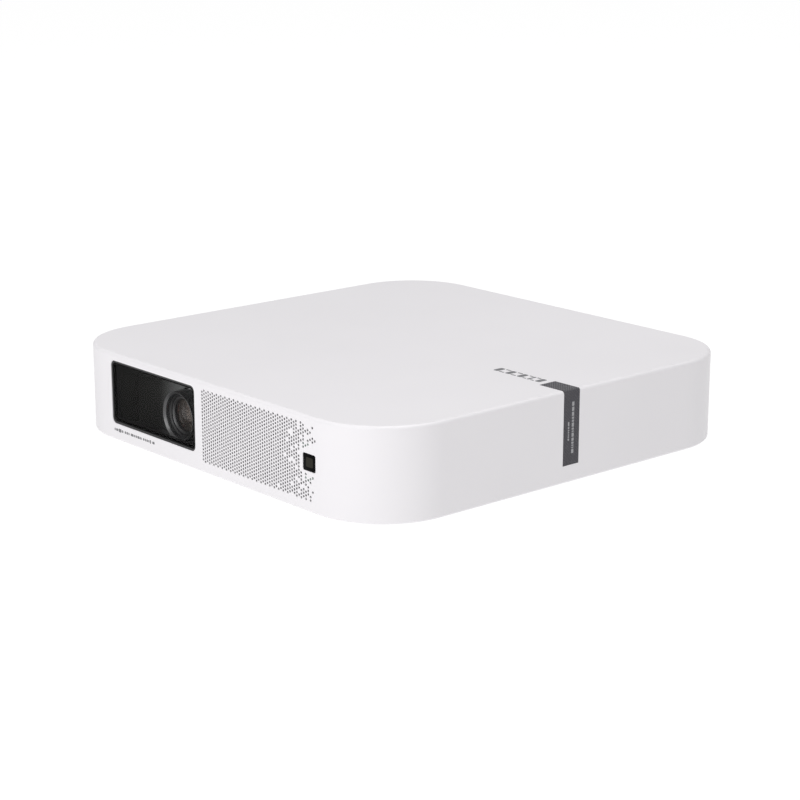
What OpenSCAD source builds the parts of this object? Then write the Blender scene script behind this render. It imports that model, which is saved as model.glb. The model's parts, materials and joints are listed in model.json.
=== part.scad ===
// Flat home projector: a soft-cornered square body that stands on four rubber feet.
// The front looks along -Y, +Z is up, and the origin lies under the middle of the body,
// on the plane that the feet rest on. All sizes are in millimetres.

/* [Body] */
// Width of the body, side to side
body_w = 194; // [160:1:234]
// Depth of the body, front to back
body_d = 192; // [160:1:232]
// Height of the body, without the feet
body_h = 35.5; // [29.5:0.5:43]
// Radius of the four upright corners
corner_r = 31; // [26:0.5:37]
// Radius of the rounded top and bottom edge
edge_r = 1.2; // [0.6:0.1:1.5]
// Thickness of the side walls
wall = 2; // [1.6:0.1:2.4]
// Thickness of the top
top_t = 2; // [1.6:0.1:2.4]
// Thickness of the bottom cover
base_t = 2; // [1.6:0.1:2.4]
// Gap between the bottom cover and the walls round it
cover_gap = 0.2; // [0.1:0.05:0.4]
// How far the feet stand out below the body
foot_h = 2.5; // [1.5:0.1:4]
// Radius of a foot
foot_r = 8; // [5:0.5:10]

/* [Front] */
// Width of the lens window
win_w = 56; // [47:1:67]
// Plain wall between the corner's arc and the window
win_inset = 3.3; // [1:0.1:4]
// Plain wall above the window
win_top = 2.9; // [2.5:0.1:4]
// Plain wall below the window
win_bottom = 7; // [4.7:0.1:8]
// Radius of the window's corners
win_r = 2.4; // [1.8:0.1:4]
// Width of the black frame round the glass
frame_t = 0.8; // [0.5:0.1:1.2]
// Radius of a hole in the front grille
hole_r = 0.49; // [0.3:0.01:0.5]
// Spacing of the grille's columns, and of the holes in one column
hole_pitch = 1.312; // [1.2:0.004:1.6]
// Width of the sensor window
sensor_w = 7.2; // [6:0.1:8.4]
// Height of the sensor window
sensor_h = 6.5; // [5:0.1:8.4]

/* [Optics] */
// Distance from the window's left edge to the lens axis
lens_off = 36.1; // [34:0.1:38]
// Radius of the lens barrel's front rim
rim_r = 9.9; // [8:0.1:10.4]
// Distance from the front face back to the rim
rim_depth = 6; // [5.5:0.1:8]
// How far the barrel moves each way when it focuses
focus_travel = 1.5; // [0.5:0.1:1.6]
// Module of the focus gears
gear_m = 0.5; // [0.48:0.01:0.51]
// Teeth on the focus ring
ring_teeth = 50; // [44:2:52]
// Teeth on the motor's pinion
pinion_teeth = 12; // [10:2:14]

/* [Cooling and sound] */
// Side of the large blower
blower_w = 50; // [42:1:54]
// Height of the large blower
blower_h = 16; // [12:0.5:17]
// Side of the small fan
fan_w = 40; // [34:1:43]
// Height of the small fan
fan_h = 12; // [10:0.5:16]
// Radius of a heat pipe
pipe_r = 2; // [1.6:0.1:2.4]
// Width of a speaker box
speaker_w = 24; // [23:0.5:26]
// Length of a speaker box
speaker_l = 48; // [40:1:50]
// Height of a speaker box
speaker_h = 22; // [18:0.5:23]
// How far a speaker cone moves each way
cone_travel = 0.8; // [0.4:0.1:1]

/* [Rear] */
// Width of the socket panel
panel_w = 58; // [57:0.5:62]
// Height of the socket panel
panel_h = 15; // [14:0.5:18]
// Radius of the power button
button_r = 4.4; // [3.5:0.1:5]
// Travel of the power button
button_travel = 0.5; // [0.3:0.1:0.8]

/* [Hidden] */

white = [0.91, 0.91, 0.92];
tag_grey = [0.27, 0.27, 0.29];
black = [0.03, 0.03, 0.03];
dark = [0.11, 0.11, 0.12];
rubber = [0.16, 0.16, 0.17];
green_board = [0.05, 0.28, 0.16];
copper = [0.72, 0.42, 0.26];
steel = [0.68, 0.69, 0.71];
silver = [0.78, 0.79, 0.8];
brass = [0.78, 0.63, 0.33];
clear = [0.75, 0.82, 0.85];

fine = 96;                            // facets of a large round
mid = 48;                             // facets of a medium round
small = 24;                           // facets of a small round
eps = 0.5;                            // how far a cut runs past the face that it opens

// Levels, from the bottom up
z_base = foot_h;                      // underside of the bottom cover
z_floor = z_base + base_t;            // inside of the bottom cover
z_top = z_base + body_h;              // top of the body
z_ceil = z_top - top_t;               // inside of the top
y_front = -body_d/2;                  // outer faces of the front and the rear wall
y_rear = body_d/2;
y_in = y_front + wall;                // inner face of the front wall
y_back = y_rear - wall;               // inner face of the rear wall
x_in = body_w/2 - wall;               // inner face of the right wall
flat_x = body_w/2 - corner_r;         // where the front's flat ends and the corner begins
flat_y = body_d/2 - corner_r;

// Small inner screws
small_r = 1;                          // shank, head and length of a screw
small_head_r = 1.9;
small_head_l = 1.2;
small_l = 5;
small_in = 3.2;                       // screws from the engine's and the fans' corners
post_r = 2.4;                         // posts that the inner screws and the fans stand on

// Front features
win_x0 = -flat_x + win_inset;
win_x1 = win_x0 + win_w;
win_cx = (win_x0 + win_x1)/2;
win_h = body_h - win_top - win_bottom;
win_z0 = z_base + win_bottom;
win_cz = win_z0 + win_h/2;
glass_set = 0.3;                      // the glass sits this far behind the front face
glass_t = 1.4;
ledge = 0.7;                          // ledge in the frame behind the glass
flange = 1.5;                         // flange of the frame behind the wall
flange_t = 1.2;
flange_z = (win_top - top_t)*0.8;      // the flange is lower here, to pass under the top
grille_gap = 3.6;                     // plain wall between the window and the grille's plate
grille_x0 = win_x1 + grille_gap;
grille_x1 = flat_x;
grille_z0 = win_z0 - 3.15;
grille_z1 = z_top - top_t - 0.3;
grille_rim = 0.85;                    // plain rim from the plate's edge to the first hole's centre
grille_t = 0.4;                       // thickness of the pierced sheet
grille_ledge = 0.3;                   // ledge of the wall that the sheet rests on
grille_cols = floor((grille_x1 - grille_x0 - 2*grille_rim)/hole_pitch) + 1;
grille_rows = floor((grille_z1 - grille_z0 - 2*grille_rim)/hole_pitch) + 1;
fade_cols = 18;                       // columns over which the holes thin out towards the corner
fade_least = 0.25;                    // share of the holes kept in the last column
fade_curve = 2.2;                     // how soon the share rises again
sensor_x = grille_x1 - sensor_w/2 - 0.5;
sensor_z = (grille_z0 + grille_z1)/2;
sensor_rim = 0.7;                     // plain rim round the sensor's opening
sensor_set = 0.15;                    // how far the sensor window sits behind the front face
sensor_t = 1.2;
sensor_board_w = 12;
sensor_board_y = y_in + 3;            // front face of the sensor's board

// Tag folded over the right edge
tag_w = 8.2;
tag_y = -0.6;
tag_t = 0.5;
tag_top_l = 12.8;
tag_low = z_base + 6.9;

// Optics
lens_x = win_x0 + lens_off;
lens_clear = 0.7;                     // clearance of the focus ring above the floor and under the top
tooth_share = 0.8;                    // height of a tooth outside the pitch circle, in modules
ring_m = min(gear_m, (z_ceil - z_floor - 2*lens_clear)/(ring_teeth + 2*tooth_share));
ring_r = ring_m*ring_teeth/2;
pinion_r = ring_m*pinion_teeth/2;
tooth_out = tooth_share*ring_m;
tooth_in = 1.1*ring_m;
lens_z = z_floor + lens_clear + ring_r + tooth_out;
slide_fit = 0.05;                     // radial clearance of shafts and sliding parts
lens_tube_r = 9.4;                    // fixed tube: outer radius
lens_bore_r = 8.3;
neck_r = lens_bore_r - slide_fit;     // barrel's neck that slides in the tube
ring_bore_r = lens_tube_r + slide_fit;
y_rim = y_front + rim_depth;
rim_l = 6;                            // length of the barrel's wide front
rim_w = 1.2;                          // width of the rim's front face
bore_l = 3;                           // depth of the barrel's open front
seat_r = 6.5;                         // seat of the front lens
glass_l = 3.4;                        // length of the front lens at its edge
barrel_l = 26;
retainer_r = 6.9;                     // bore that the retaining ring screws into
dome_r = 12.5;                        // radius of the front lens's outer face
dome_h = 1.1;
shroud_t = 1;
rim_gap = 0.6;                        // clearance round the barrel's wide front
y_seat = y_in + flange_t;             // face of the window frame that the shroud sits on
y_shroud = y_front + 13;              // back wall of the shroud
shroud_z0 = lens_z - rim_r - rim_gap - shroud_t;
y_tube = y_rim + rim_l + focus_travel + 0.5;
ring_l = 4;
y_ring = y_tube + 1.6;                // front face of the focus ring
y_shoulder = y_ring + ring_l + 0.4;
y_engine = y_front + 36;              // front face of the engine's block
engine_left = 36;                     // from the lens axis to the block's left side
engine_right = 18;
engine_l = 41;                        // length of the block, front to back
engine_t = 2;
engine_x0 = lens_x - engine_left;
engine_x1 = lens_x + engine_right;
engine_y1 = y_engine + engine_l;
engine_lid_t = 1.5;
z_lid = z_ceil - small_head_l - 0.4 - engine_lid_t;
prism_s = 14;
led_r = 5;
led_off = 24;                         // LED axes from the lens axis
plate_l = 3;                          // copper plate between an LED and its block
block_l = 10;
pinion_x = lens_x - ring_r - pinion_r;
motor_r = 4.5;
motor_l = 12;
motor_shaft_r = 0.75;
pin_r = 0.8;

// Cooling
pipe_gap = 1;
pipe_z = z_ceil - pipe_gap - pipe_r;
pipe_under = pipe_z - pipe_r;         // faces that the pipes lie on
pipe_step = 2*pipe_r + 1;
bend_r = 8;
y_pipe = engine_y1 + plate_l + block_l/2 - pipe_step/2;
fin_x0 = win_x1 + flange + 1;
fin_x1 = sensor_x - sensor_board_w/2 - 2;
fin_l = 22;
fin_y0 = y_in + 2;
fin_pitch = 2;
fin_t = 0.5;
fin_count = floor((fin_x1 - fin_x0 - fin_t)/fin_pitch) + 1;
fin_plate = 1;
pipe_x = fin_x1 - 16;
blower_x = engine_x1 + 16;
blower_y = fin_y0 + fin_l + 2;
shaft_r = 1.2;

// Speakers
box_t = 1.5;
speaker_y = y_in + 78;
speaker_gap = 0.3;                    // gap between a box and the body's wall
driver_r = speaker_w/2 - box_t - 0.2;
mouth_r = driver_r - 1.6;
cone_r = mouth_r - 1.4;
coil_r = 3.2;
box_h = min(speaker_h, pipe_under - pipe_gap - z_floor);  // a box stays under the heat pipes
driver_off = 15;                      // driver's centre from the box's front end

// Rear
panel_x1 = flat_x - 1;
panel_x0 = panel_x1 - panel_w;
panel_r = 2;
board_gap = 4;
board_t = 1.6;
board_l = 62;
board_side = 0.3;                     // least gap between the main board and the right speaker box
board_x1 = min(panel_x1 + 1, x_in - speaker_gap - speaker_w - board_side);
board_x0 = board_x1 - 60;
board_z = z_floor + board_gap;
board_top = board_z + board_t;
board_y1 = y_back - 1;
panel_z0 = board_top - 2.5;
hdmi_x = panel_x0 + 11;
usb_x = panel_x0 + 27.5;
audio_x = panel_x0 + 40;
power_x = panel_x0 + 50.5;
socket_y1 = y_rear - 0.8;             // mouths of the sockets
jack_r = 1.75;
jack_l = 12;
barrel_r = 3.2;
button_x = panel_x0 - 8;
button_z = board_top + 5;
button_gap = 0.15;
rear_x0 = -flat_x + 1;
rear_x1 = button_x - button_r - 3;
rear_z0 = z_base + 6;
rear_z1 = z_top - 5;
vent_r = 0.85;
vent_pitch = 2.624;
fan_x = board_x0 - 14 - fan_w;
fan_y = y_back - 4 - fan_w;

// Fastenings
boss_r = 3.2;
screw_r = 1.2;
screw_fit = 0.03;
screw_l = 12;
screw_head_r = 2.6;
screw_head_l = 1.2;
boss_in = 15;                         // bosses from the body's sides
foot_in = 34;                         // feet from the body's sides
foot_seat = 0.8;                      // depth of a foot's recess
insert_r = 5;
insert_l = 9;
thread_r = 2.55;
insert_flange = 2.5;
board_in = 4;                         // the main board's screws from its edges
cable_w = 12;
cable_t = 0.4;
cable_bend = 6;
cable_y = board_y1 - board_l + 10;    // line on which the flat cable reaches the main board
cable_z = board_top + 1;

// A rectangle with round corners, centred on the origin
module soft_rect(w, h, r, n = mid) {
  square([w - 2*r, h], center = true);
  square([w, h - 2*r], center = true);
  for (x = [-1, 1], y = [-1, 1])
    translate([x*(w/2 - r), y*(h/2 - r)]) circle(r, $fn = n);
}

// Half section of a slab, w wide and h high, with both outer corners rounded by r
module edge_section(w, h, r) {
  square([w - r, h]);
  translate([0, r]) square([w, h - 2*r]);
  for (z = [r, h - r]) translate([w - r, z]) circle(r, $fn = mid);
}

// A slab with upright corners of radius rc, and rounded top and bottom edges of radius re
module soft_slab(w, d, h, rc, re) {
  flat = [w/2 - rc, d/2 - rc];
  translate([-flat[0], -flat[1], 0]) cube([2*flat[0], 2*flat[1], h]);
  for (c = [[1, 1, 0], [-1, 1, 90], [-1, -1, 180], [1, -1, 270]])
    translate([c[0]*flat[0], c[1]*flat[1], 0]) rotate([0, 0, c[2]])
      rotate_extrude(angle = 90, $fn = fine) edge_section(rc, h, re);
  for (a = [0, 180]) rotate([0, 0, a]) {
    translate([flat[0], 0, 0]) rotate([90, 0, 0])
      linear_extrude(2*flat[1], center = true) edge_section(rc, h, re);
    translate([0, flat[1], 0]) rotate([90, 0, 90])
      linear_extrude(2*flat[0], center = true) edge_section(rc, h, re);
  }
}

// An upright plate of thickness t: the outline is drawn in x and z, and y is its front face
module upright(y, t) translate([0, y + t, 0]) rotate([90, 0, 0]) linear_extrude(t) children();

// A round bar along Y, from y to y + l
module bar_y(x, y, z, r, l, n = mid)
  translate([x, y + l, z]) rotate([90, 0, 0]) cylinder(h = l, r = r, $fn = n);

// A ring along Y
module ring_y(x, y, z, r_out, r_in, l, n = mid)
  translate([x, y + l, z]) rotate([90, 0, 0]) linear_extrude(l) difference() {
    circle(r_out, $fn = n);
    circle(r_in, $fn = n);
  }

// A box given by its lowest and highest corners
module span(a, b) translate(a) cube(b - a);

// A flat slot with round ends, l long overall and w wide, along x
module slot2(l, w) {
  square([l - w, w], center = true);
  for (x = [-1, 1]) translate([x*(l - w)/2, 0]) circle(w/2, $fn = small);
}

module at_bosses() {
  for (x = [-1, 1], y = [-1, 1])
    translate([x*(body_w/2 - boss_in), y*(body_d/2 - boss_in), 0]) children();
}

module at_board_screws() {
  for (x = [board_x0 + board_in, board_x1 - board_in], y = [board_y1 - board_l + board_in, board_y1 - 24])
    translate([x, y, 0]) children();
}

module at_engine_screws() {
  for (x = [engine_x0 + small_in, engine_x1 - small_in], y = [y_engine + small_in, engine_y1 - small_in])
    translate([x, y, 0]) children();
}

// The three corners of a fan case that its outlet leaves whole
module at_case_screws(w, out) {
  for (c = [[-out, 1], [out, -1], [1, out]])
    translate([w/2 + c[0]*(w/2 - small_in), w/2 + c[1]*(w/2 - small_in), 0]) children();
}

module at_feet() {
  for (x = [-1, 1], y = [-1, 1])
    translate([x*(body_w/2 - foot_in), y*(body_d/2 - foot_in), 0]) children();
}

// ---- Casing ----

module body_block()
  translate([0, 0, z_base]) soft_slab(body_w, body_d, body_h, corner_r, edge_r);

// The tag's seat: one shallow step in the top and one in the right wall
module tag_space(extra) {
  span([body_w/2 - tag_top_l, tag_y - tag_w/2, z_top - tag_t],
       [body_w/2 + extra, tag_y + tag_w/2, z_top + extra]);
  span([body_w/2 - tag_t, tag_y - tag_w/2, tag_low],
       [body_w/2 + extra, tag_y + tag_w/2, z_top + extra]);
}

module grille_outline(inset)
  translate([(grille_x0 + grille_x1)/2, (grille_z0 + grille_z1)/2])
    square([grille_x1 - grille_x0 - 2*inset, grille_z1 - grille_z0 - 2*inset], center = true);

module top_shell() color(white) {
  difference() {
    body_block();
    translate([0, 0, z_base - eps]) linear_extrude(z_ceil - z_base + eps)
      soft_rect(body_w - 2*wall, body_d - 2*wall, corner_r - wall, fine);
    upright(y_front - eps, wall + 2*eps) {
      translate([win_cx, win_cz]) soft_rect(win_w, win_h, win_r);
      grille_outline(grille_ledge);
    }
    upright(y_front - eps, grille_t + eps) grille_outline(0);
    upright(y_back - eps, wall + 2*eps) {
      translate([(panel_x0 + panel_x1)/2, panel_z0 + panel_h/2]) soft_rect(panel_w, panel_h, panel_r);
      translate([(rear_x0 + rear_x1)/2, (rear_z0 + rear_z1)/2])
        square([rear_x1 - rear_x0, rear_z1 - rear_z0], center = true);
      translate([button_x, button_z]) circle(button_r + button_gap, $fn = mid);
    }
    tag_space(eps);
  }
  at_bosses() difference() {
    translate([0, 0, z_floor]) cylinder(h = z_ceil - z_floor + top_t/2, r = boss_r, $fn = mid);
    translate([0, 0, z_floor - eps]) cylinder(h = screw_l + eps, r = screw_r + screw_fit, $fn = small);
  }
}

// A repeatable scatter from 0 to 1 for the hole in column i and row j
function scatter(i, j) = let (v = sin(i*127.1 + j*311.7)*4375.85) v - floor(v);
// Share of the holes kept in a column, falling towards the corner
function kept(i) = let (t = min(1, (grille_cols - 1 - i)/fade_cols)) 1 - (1 - fade_least)*pow(1 - t, fade_curve);
// Every second column stands half a pitch higher and has one hole less; the last one stands low
function raised(i) = (grille_cols - 1 - i) % 2;
function hole_x(i) = grille_x1 - grille_rim - (grille_cols - 1 - i)*hole_pitch;
function hole_z(i, j) = grille_z0 + grille_rim + (j + raised(i)/2)*hole_pitch;
function by_sensor(x, z) = abs(x - sensor_x) < sensor_w/2 + sensor_rim + hole_r
  && abs(z - sensor_z) < sensor_h/2 + sensor_rim + hole_r;

module front_grille() color(white) {
  upright(y_front, grille_t) difference() {
    grille_outline(0);
    translate([sensor_x, sensor_z]) soft_rect(sensor_w, sensor_h, 0.8, small);
    for (i = [0:grille_cols - 1], j = [0:grille_rows - 1 - raised(i)])
      if (scatter(i, j) < kept(i) && !by_sensor(hole_x(i), hole_z(i, j)))
        translate([hole_x(i), hole_z(i, j)]) circle(hole_r, $fn = 16);
  }
}

module rear_grille() color(white) {
  cols = floor((rear_x1 - rear_x0 - 3)/vent_pitch);
  rows = floor((rear_z1 - rear_z0 - 3)/vent_pitch);
  cx = (rear_x0 + rear_x1)/2;
  cz = (rear_z0 + rear_z1)/2;
  upright(y_back, wall) difference() {
    translate([cx, cz]) square([rear_x1 - rear_x0, rear_z1 - rear_z0], center = true);
    for (i = [0:cols - 1], j = [0:rows - 1])
      translate([cx + (i - (cols - 1)/2)*vent_pitch, cz + (j - rows/2 + 0.25 + (i % 2)/2)*vent_pitch])
        circle(vent_r, $fn = 16);
  }
}

module socket_panel() color(dark) {
  upright(y_back, wall - 0.4) difference() {
    translate([(panel_x0 + panel_x1)/2, panel_z0 + panel_h/2]) soft_rect(panel_w, panel_h, panel_r);
    translate([hdmi_x, board_top + 3]) square([15.4, 6.2], center = true);
    translate([usb_x, board_top + 3.6]) square([13.6, 7.4], center = true);
    translate([audio_x, board_top + 3.1]) circle(3.2, $fn = mid);
    translate([power_x, board_top + 5.5]) circle(4.2, $fn = mid);
  }
}

module vents(x0, x1, y0, y1) {
  count = floor((x1 - x0)/5);
  for (i = [0:count - 1])
    translate([x0 + (i + 0.5)*(x1 - x0)/count, (y0 + y1)/2, z_base - eps]) rotate([0, 0, 90])
      linear_extrude(base_t + 2*eps) slot2(y1 - y0, 2);
}

module bottom_cover() color(white) {
  difference() {
    translate([0, 0, z_base]) linear_extrude(base_t)
      soft_rect(body_w - 2*wall - 2*cover_gap, body_d - 2*wall - 2*cover_gap,
                corner_r - wall - cover_gap, fine);
    at_feet() translate([0, 0, z_base - eps]) cylinder(h = foot_seat + eps, r = foot_r, $fn = mid);
    at_bosses() translate([0, 0, z_base - eps]) {
      cylinder(h = base_t + 2*eps, r = screw_r + 0.4, $fn = small);
      cylinder(h = screw_head_l + 0.1 + eps, r = screw_head_r + 0.3, $fn = small);
    }
    translate([0, 0, z_base - eps]) cylinder(h = base_t + 2*eps, r = insert_r, $fn = mid);
    vents(blower_x + 9, blower_x + blower_w - 9, blower_y + 9, blower_y + blower_w - 9);
    vents(fan_x + 6, fan_x + fan_w - 6, fan_y + 4, fan_y + fan_w - 12);
    for (s = [-1, 1]) for (i = [-2:2])
      translate([s*(x_in - speaker_gap - speaker_w/2), speaker_y + driver_off + i*3.4, z_base - eps])
        linear_extrude(base_t + 2*eps) slot2(14, 1.6);
  }
  at_board_screws() translate([0, 0, z_floor]) difference() {
    cylinder(h = board_gap, r = post_r, $fn = small);
    translate([0, 0, 0.4]) cylinder(h = board_gap, r = small_r + screw_fit, $fn = small);
  }
  for (x = [4, blower_w - 4], y = [4, blower_w - 4])
    translate([blower_x + x, blower_y + y, z_floor]) cylinder(h = 1, r = post_r, $fn = small);
  for (x = [4, fan_w - 4], y = [4, fan_w - 4])
    translate([fan_x + x, fan_y + y, z_floor]) cylinder(h = 1, r = post_r, $fn = small);
}

module rubber_feet() color(rubber) {
  at_feet() {
    cylinder(h = 0.6, r1 = foot_r - 0.6, r2 = foot_r, $fn = mid);
    translate([0, 0, 0.6]) cylinder(h = z_base + foot_seat - 0.6, r = foot_r, $fn = mid);
  }
}

module case_screws() color(steel) {
  at_bosses() difference() {
    union() {
      translate([0, 0, z_base + 0.1]) cylinder(h = screw_head_l, r = screw_head_r, $fn = small);
      translate([0, 0, z_base + 0.1]) cylinder(h = screw_l, r = screw_r, $fn = small);
    }
    for (a = [0, 90]) rotate([0, 0, a]) span([-1.5, -0.3, z_base - eps], [1.5, 0.3, z_base + 0.9]);
  }
}

module tripod_insert() color(brass) {
  difference() {
    union() {
      translate([0, 0, z_base]) cylinder(h = insert_l, r = insert_r, $fn = mid);
      translate([0, 0, z_floor]) cylinder(h = 1.2, r = insert_r + insert_flange, $fn = mid);
    }
    translate([0, 0, z_base - eps]) cylinder(h = insert_l - 1 + eps, r = thread_r, $fn = mid);
  }
}

// ---- Window ----

module window_frame() color(black) {
  deep = wall - glass_set + flange_t;
  difference() {
    union() {
      upright(y_front + glass_set, deep) translate([win_cx, win_cz]) soft_rect(win_w, win_h, win_r);
      upright(y_in, flange_t) translate([win_cx, win_cz])
        soft_rect(win_w + 2*flange, win_h + 2*flange_z, win_r + flange_z);
    }
    upright(y_front + glass_set - eps, glass_t + eps) translate([win_cx, win_cz])
      soft_rect(win_w - 2*frame_t, win_h - 2*frame_t, win_r - frame_t);
    upright(y_front, deep + 1) translate([win_cx, win_cz])
      soft_rect(win_w - 2*frame_t - 2*ledge, win_h - 2*frame_t - 2*ledge, win_r - frame_t - ledge);
  }
}

module window_glass() color(black) {
  upright(y_front + glass_set, glass_t) translate([win_cx, win_cz])
    soft_rect(win_w - 2*frame_t, win_h - 2*frame_t, win_r - frame_t);
}

// A dark box behind the window, with a round hole for the lens barrel
module lens_shroud() color(dark) {
  x0 = win_x0 - flange;
  x1 = win_x1 + flange;
  z1 = win_z0 + win_h + flange_z;
  difference() {
    span([x0, y_seat, shroud_z0], [x1, y_shroud + shroud_t, z1]);
    span([x0 + shroud_t, y_seat + shroud_t, shroud_z0 + shroud_t],
         [x1 - shroud_t, y_shroud, z1 - shroud_t]);
    span([x0 + shroud_t, y_seat - eps, win_z0 - flange_z + shroud_t],
         [x1 - shroud_t, y_seat + shroud_t + eps, z1 - shroud_t]);
    bar_y(lens_x, y_shroud - eps, lens_z, rim_r + rim_gap, shroud_t + 2*eps);
  }
}

module sensor_window() color(black) {
  upright(y_front + sensor_set, sensor_t) translate([sensor_x, sensor_z]) soft_rect(sensor_w, sensor_h, 0.8, small);
}

module sensor_board() {
  color(green_board) upright(sensor_board_y, 1) translate([sensor_x, sensor_z])
    square([sensor_board_w, 14], center = true);
  color(black) {
    upright(y_front + sensor_set + sensor_t, sensor_board_y - y_front - sensor_set - sensor_t)
      translate([sensor_x, sensor_z])
      square([sensor_w - 1.6, sensor_h - 1.6], center = true);
    for (z = [-1, 1]) upright(y_front + grille_t, sensor_board_y - y_front - grille_t)
      translate([sensor_x, sensor_z + z*6]) square([sensor_w, 2], center = true);
  }
}

module side_tag() color(tag_grey) {
  intersection() {
    body_block();
    tag_space(eps);
  }
}

// ---- Optical engine ----

// Outline of a gear: straight-sided teeth, a little thinner than half the pitch
module gear_outline(teeth, shift) {
  step = 360/teeth;
  r = ring_m*teeth/2;
  polygon([for (i = [0:teeth - 1]) for (p = [[-0.29, -1], [-0.12, 1], [0.12, 1], [0.29, -1]])
    let (a = (i + shift + p[0])*step, q = p[1] > 0 ? r + tooth_out : r - tooth_in)
      [q*cos(a), q*sin(a)]]);
}

module engine_housing() color(silver) {
  difference() {
    union() {
      span([engine_x0, y_engine, z_floor], [engine_x1, engine_y1, z_lid]);
      bar_y(lens_x, y_tube, lens_z, lens_tube_r, y_engine - y_tube + 1);
      bar_y(lens_x, y_shoulder, lens_z, lens_tube_r + 1.2, 1.4);
      bar_y(lens_x, y_engine - 4, lens_z, lens_tube_r + 1.2, 4);
    }
    difference() {
      span([engine_x0 + engine_t, y_engine + engine_t, z_floor + engine_t],
           [engine_x1 - engine_t, engine_y1 - engine_t, z_lid + eps]);
      at_engine_screws() translate([0, 0, z_floor]) cylinder(h = z_lid - 1 - z_floor, r = post_r, $fn = small);
    }
    at_engine_screws() translate([0, 0, z_lid - 1 - small_l])
      cylinder(h = small_l + 2, r = small_r + screw_fit, $fn = small);
    bar_y(lens_x, y_tube - eps, lens_z, lens_bore_r, y_engine + engine_t - y_tube + 2*eps);
    for (a = [0, 120, 240]) translate([lens_x, 0, lens_z]) rotate([0, a, 0])
      span([-pin_r - 0.1, y_ring + ring_l/2 - focus_travel - pin_r - 0.2, lens_bore_r - 1],
           [pin_r + 0.1, y_ring + ring_l/2 + focus_travel + pin_r + 0.2, lens_tube_r + 1]);
    bar_y(lens_x - led_off, engine_y1 - engine_t - eps, lens_z, led_r, engine_t + 2*eps);
    translate([engine_x0 - eps, y_engine + engine_l/2, lens_z]) rotate([0, 90, 0])
      cylinder(h = engine_t + 2*eps, r = led_r, $fn = mid);
    span([engine_x1 - engine_t - eps, y_engine + 8, lens_z - 5],
         [engine_x1 + eps, y_engine + 22, lens_z + 5]);
  }
}

module engine_cover() color(dark) difference() {
  union() {
    span([engine_x0, y_engine, z_lid], [engine_x1, engine_y1, z_lid + engine_lid_t]);
    span([engine_x0 + engine_t + 0.1, y_engine + engine_t + 0.1, z_lid - 1],
         [engine_x1 - engine_t - 0.1, engine_y1 - engine_t - 0.1, z_lid + 0.1]);
  }
  at_engine_screws() translate([0, 0, z_lid - 1 - eps])
    cylinder(h = engine_lid_t + 1 + 2*eps, r = small_r + 0.15, $fn = small);
}

module focus_ring() color(dark) {
  difference() {
    translate([lens_x, y_ring + ring_l, lens_z]) rotate([90, 0, 0]) linear_extrude(ring_l)
      gear_outline(ring_teeth, 0);
    bar_y(lens_x, y_ring - eps, lens_z, ring_bore_r, ring_l + 2*eps);
  }
}

module ring_clip() color(steel) {
  ring_y(lens_x, y_ring - 0.9, lens_z, lens_tube_r + 1, lens_tube_r, 0.7);
}

// Barrel: a wide rim, stepped in towards the glass, and a neck that slides in the fixed tube
module lens_barrel() color(black) {
  translate([lens_x, y_rim, lens_z]) rotate([-90, 0, 0]) rotate_extrude($fn = fine)
    polygon([
      [seat_r, bore_l + 0.5], [seat_r + 0.5, bore_l], [rim_r - rim_w - 0.3, bore_l],
      [rim_r - rim_w, 0.2], [rim_r - rim_w + 0.2, 0], [rim_r - 0.2, 0], [rim_r, 0.2], [rim_r, rim_l],
      [neck_r, rim_l], [neck_r, barrel_l], [retainer_r, barrel_l], [retainer_r, bore_l + glass_l + 2.2],
      [seat_r, bore_l + glass_l + 1.2]
    ]);
}

module front_lens() color(clear) {
  translate([lens_x, y_rim + bore_l + glass_l + 1.2, lens_z]) rotate([90, 0, 0]) {
    cylinder(h = glass_l, r = seat_r, $fn = fine);
    translate([0, 0, glass_l]) intersection() {
      translate([0, 0, dome_h - dome_r]) sphere(r = dome_r, $fn = fine);
      cylinder(h = dome_h, r = seat_r - 0.8, $fn = fine);
    }
  }
}

module lens_retainer() color(dark)
  ring_y(lens_x, y_rim + barrel_l - 4, lens_z, retainer_r, 5.4, 2.5);

module cam_pins() color(steel) {
  for (a = [0, 120, 240]) translate([lens_x, y_ring + ring_l/2, lens_z]) rotate([0, a, 0])
    translate([0, 0, neck_r - 0.02]) cylinder(h = lens_tube_r - neck_r - 0.03, r = pin_r, $fn = small);
}

module focus_motor() {
  y0 = y_ring + ring_l + 1.2;
  color(silver) {
    bar_y(pinion_x, y_engine - motor_l, lens_z, motor_r, motor_l);
    difference() {
      bar_y(pinion_x, y0, lens_z, 1.9, y_engine - motor_l - y0, small);
      bar_y(pinion_x, y0 - eps, lens_z, motor_shaft_r + slide_fit, 2 + eps, small);
    }
  }
}

module focus_pinion() color(brass) {
  bar_y(pinion_x, y_ring + ring_l - eps, lens_z, motor_shaft_r, 2.6, small);
  translate([pinion_x, y_ring + ring_l, lens_z]) rotate([90, 0, 0]) linear_extrude(ring_l)
    gear_outline(pinion_teeth, 0.5);
}

module prism_block() color(clear) {
  translate([lens_x - prism_s/2, y_engine + 6, z_floor + engine_t]) linear_extrude(lens_z - z_floor + 5)
    polygon([[0, 0], [prism_s, 0], [prism_s, prism_s], [0, prism_s*1.6]]);
}

module fold_mirror() color(silver) {
  translate([lens_x - led_off, y_engine + 20.5, z_floor + engine_t]) rotate([0, 0, 45])
    span([-8, -0.6, 0], [8, 0.6, lens_z - z_floor + 5]);
}

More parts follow.
